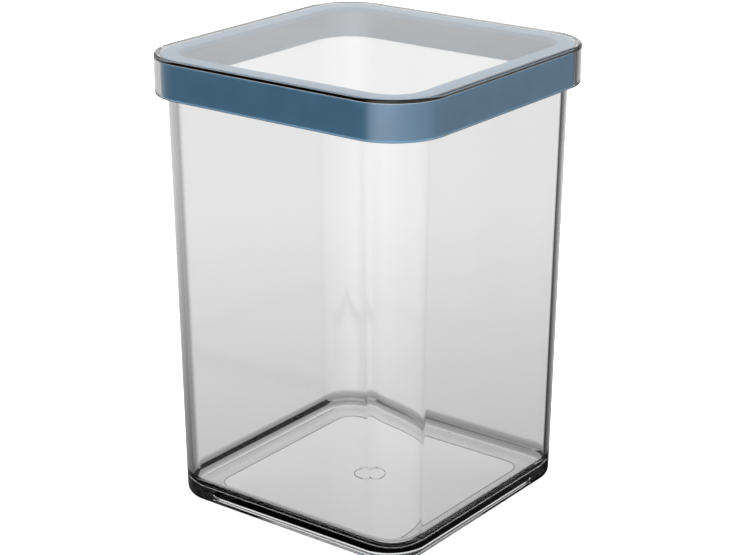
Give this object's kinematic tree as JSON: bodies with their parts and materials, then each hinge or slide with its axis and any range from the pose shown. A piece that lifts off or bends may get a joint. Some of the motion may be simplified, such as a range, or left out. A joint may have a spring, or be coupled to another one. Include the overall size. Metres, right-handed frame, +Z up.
{
  "type": "lidded storage canister",
  "caption": "Square clear plastic storage canister with a lift-off clear lid and a blue liner that grips the rim.",
  "frame": {"origin": "middle of the foot, on the surface the canister stands on", "axes": "+Z up through the mouth and lid; +X and +Y square to the side walls"},
  "size_m": [0.1, 0.1, 0.1414],
  "materials": {
    "clear_body": "clear, polished moulding",
    "clear_cover": "clear, polished moulding",
    "blue_liner": "soft satin moulding"
  },
  "bodies": {
    "canister": {"canister": "clear_body"},
    "lid": {"lid_cover": "clear_cover", "lid_liner": "blue_liner"}
  },
  "joints": [
    {"name": "lid_lift", "type": "slide", "parent": "canister", "child": "lid", "axis": [0, 0, 1], "range_m": [0, 0.1]}
  ]
}
